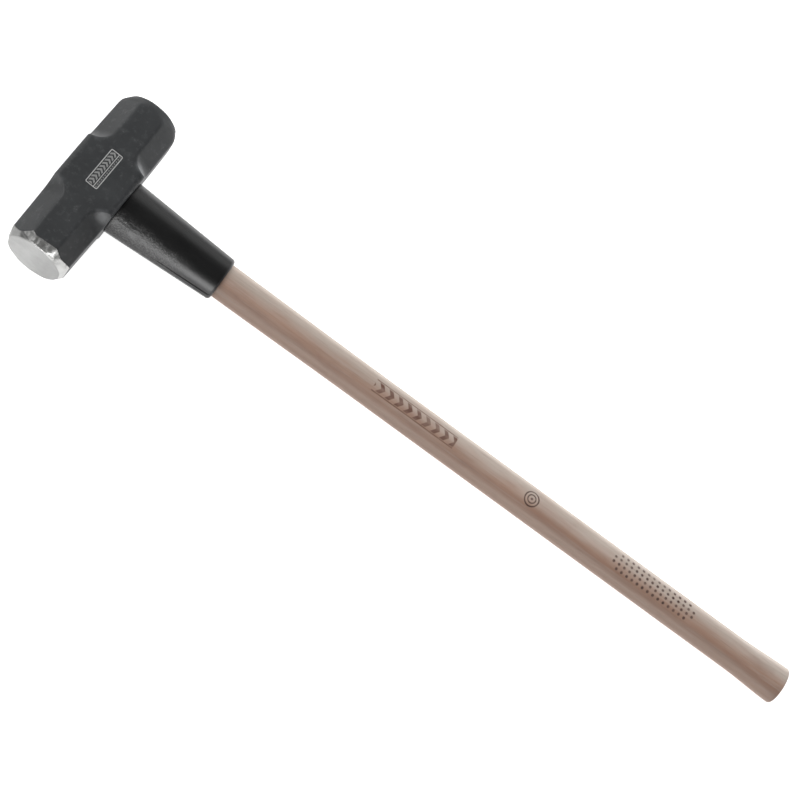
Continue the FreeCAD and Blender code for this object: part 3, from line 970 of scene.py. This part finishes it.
def sleeve_material():
    """Black moulded rubber: smooth toward its rim, scuffed and grainy on its near side toward the head with a
    painted highlight on the grain, and painted shade in the groove.
    """
    s = Surface("moulded_rubber")
    x, y, z = s.axes()
    flow = s.noise((25, 90, 90), 4, 0.6)
    grain = s.noise(750, 3, 0.7, shift=2)
    patch = s.noise((60, 130, 130), 4, 0.65, shift=5)
    wear_and_glint = x.fall(SLEEVE_START_X + 50 * MM, SLEEVE_END_X - 20 * MM) * patch.rise(0.32, 0.6)
    wear_and_glint = wear_and_glint * y.fall(-19 * MM, -9 * MM)
    black = s.mix(flow.rise(0.3, 0.7), *RUBBER)
    # Pale grain on the near side: scuffed rubber, made paler as a painted highlight.
    black = s.mix(wear_and_glint * grain.rise(0.44, 0.6) * 0.85, black, RUBBER_WORN_AND_GLINT)
    # Painted shade: the groove is painted near black, and faintly along the same line before the groove
    # starts.
    groove = abs(z - AXIS_Z - GROOVE_HEIGHT).fall(GROOVE_HALF_WIDTH * 0.8, GROOVE_HALF_WIDTH * 1.2)
    groove = groove * x.rise(GROOVE_START_X, GROOVE_START_X + GROOVE_RUN_IN).between(0.35, 1.0)
    bright = wear_and_glint * grain.rise(0.38, 0.62)
    s.set(base_color=s.mix(groove, black, RUBBER_GROOVE_SHADE), specular_ior_level=0.55)
    s.set(roughness=flow.between(0.30, 0.38) + wear_and_glint * 0.16 - bright * 0.14 + groove * 0.4)
    relief = s.bump(grain * wear_and_glint.between(0.2, 1.5), 0.3 * MM, 0.9)
    s.set(normal=s.bump(patch * wear_and_glint + flow * 0.3, 0.12 * MM, 0.5, relief))
    return s


def timber_material():
    """The end of the timber wedge, crushed and oiled."""
    s = Surface("oak_end_grain")
    fibre = s.noise((40, 500, 1300), 3, 0.6)
    pore = s.noise(1700, 2, 0.5, shift=2)
    wood = s.mix(fibre.rise(0.3, 0.7), *OAK)
    s.set(base_color=s.mix(pore.rise(0.6, 0.7) * 0.6, wood, OAK_PORE), roughness=fibre.between(0.55, 0.75))
    s.set(normal=s.bump(fibre, 0.1 * MM, 0.7))
    return s


def wedge_steel_material():
    """Dark mill scale, rubbed bright by the hammer that drove it."""
    s = Surface("mill_scale")
    patch = s.noise(320, 4, 0.65)
    pit = s.noise(1900, 2, 0.6, shift=2)
    scale = s.mix(patch.rise(0.35, 0.6), *MILL_SCALE)
    s.set(base_color=s.mix(pit.rise(0.62, 0.72) * 0.5, scale, RUST), metallic=0.9)
    s.set(roughness=patch.between(0.62, 0.38), normal=s.bump(pit, 0.06 * MM, 0.7))
    return s


def floor_material():
    """A plain pale floor, bright enough to stand in for a lit tabletop sweep."""
    s = Surface("pale_floor")
    s.set(base_color=s.mix(s.noise(2, 2, 0.5), *FLOOR_WHITE), roughness=0.9)
    s.set(emission_color=WHITE, emission_strength=0.95)
    return s


# ---------------------------------------------------------------- stage

def make_floor():
    """The floor, tilted to pass just under both the head's lower edge and the underside of the butt."""
    slope = (AXIS_Z - BUTT[1]) / (BUTT_X - BUTT_EDGE_RADIUS - HALF)
    size = 9.0
    gap = 0.2 * MM
    corners = []
    for x, y in ((-size, -size), (size, -size), (size, size), (-size, size)):
        corners.append((x, y, (x - HALF) * slope - gap))
    floor = add_object("floor", corners, [(0, 1, 2, 3)])
    floor_material().paint(floor)


def soft_box(name, azimuth, elevation, distance, size, power, mirrored):
    """A light aimed at the middle of the hammer, for reflections only or for diffuse light only."""
    middle = Vector(((CROWN_X + BUTT_X) / 2, 0, AXIS_Z))
    light = bpy.data.lights.new(name, "AREA")
    light.shape = "RECTANGLE"
    light.size = size[0]
    light.size_y = size[1]
    light.energy = power
    lamp = bpy.data.objects.new(name, light)
    turn = radians(azimuth)
    lift = radians(elevation)
    towards = Vector((sin(turn) * cos(lift), -cos(turn) * cos(lift), sin(lift)))
    lamp.location = middle + towards * distance
    lamp.rotation_euler = towards.to_track_quat("Z", "Y").to_euler()
    lamp.visible_camera = False
    lamp.visible_glossy = mirrored
    lamp.visible_diffuse = not mirrored
    bpy.context.scene.collection.objects.link(lamp)


def make_lights():
    """A tabletop tent: boxes on all four sides for the sheen, and a softer fill mostly from beyond."""
    # Each line: name, azimuth, elevation, distance, size, watts, and whether it is for reflections.
    soft_box("sheen_head_side", -90, 40, 2.2, (2.2, 1.9), 28, True)
    soft_box("sheen_far_side", 180, 28, 1.8, (2.6, 1.2), 9, True)
    soft_box("sheen_near_side", 0, 14, 1.8, (2.4, 1.0), 44, True)
    soft_box("sheen_butt_side", 90, 18, 2.2, (2.0, 0.8), 3, True)
    soft_box("fill_head_side", -90, 35, 2.2, (2.2, 1.4), 20, False)
    soft_box("fill_far_side", 180, 28, 1.8, (2.6, 1.2), 46, False)
    soft_box("fill_near_side", 0, 14, 1.8, (2.4, 0.8), 2, False)
    soft_box("fill_over_grip", 150, 62, 0.9, (0.7, 0.4), 3, False)
    soft_box("fill_butt_side", 100, 24, 1.1, (0.6, 0.4), 0.6, False)


def make_sky():
    """White where the camera looks past the floor, and a faint even light everywhere else."""
    seen_strength = 0.97
    ambient = 0.05
    world = bpy.data.worlds.new("tent")
    bpy.context.scene.world = world
    world.use_nodes = True
    tree = world.node_tree
    sky = tree.nodes["Background"]
    seen = Field(tree, tree.nodes.new("ShaderNodeLightPath").outputs["Is Camera Ray"])
    plug(tree, WHITE, sky.inputs["Color"])
    plug(tree, seen.between(ambient, seen_strength), sky.inputs["Strength"])


def make_camera():
    """The camera: steeply above, on the near face's side, rolled so that the handle falls to the right."""
    azimuth = radians(-15.066)
    elevation = radians(65.548)
    roll = radians(49.914)
    distance = 2.4
    target = Vector(((BUTT_X + CROWN_X) / 2 - 42.2 * MM, 9.1 * MM, AXIS_Z))
    lens = bpy.data.cameras.new("camera")
    lens.lens = 106.94
    lens.sensor_width = 36
    lens.clip_start = 0.05
    lens.clip_end = 60
    camera = bpy.data.objects.new("camera", lens)
    back = Vector((sin(azimuth) * cos(elevation), -cos(azimuth) * cos(elevation), sin(elevation)))
    camera.location = target + back * distance
    aim = back.to_track_quat("Z", "Y").to_matrix().to_4x4()
    camera.rotation_euler = (aim @ Matrix.Rotation(roll, 4, "Z")).to_euler()
    bpy.context.scene.collection.objects.link(camera)
    bpy.context.scene.camera = camera


# ---------------------------------------------------------------- assembly

def dress(thing, surface, node):
    """Gives a piece its material and puts it in the place of a CAD node."""
    surface.paint(thing)
    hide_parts(node)
    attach(thing, "root")


dress(make_head(), head_material(), "head")
dress(make_handle(), handle_material(), "handle")
dress(make_sleeve(), sleeve_material(), "overstrike_sleeve")
dress(make_timber_wedge(), timber_material(), "timber_wedge")
wedge_steel = wedge_steel_material()
dress(make_steel_wedge("wedge_plate_front", -1), wedge_steel, "steel_wedge_front")
dress(make_steel_wedge("wedge_plate_rear", 1), wedge_steel, "steel_wedge_rear")
make_floor()
make_lights()
make_sky()
make_camera()
bpy.context.scene.view_settings.view_transform = "Standard"
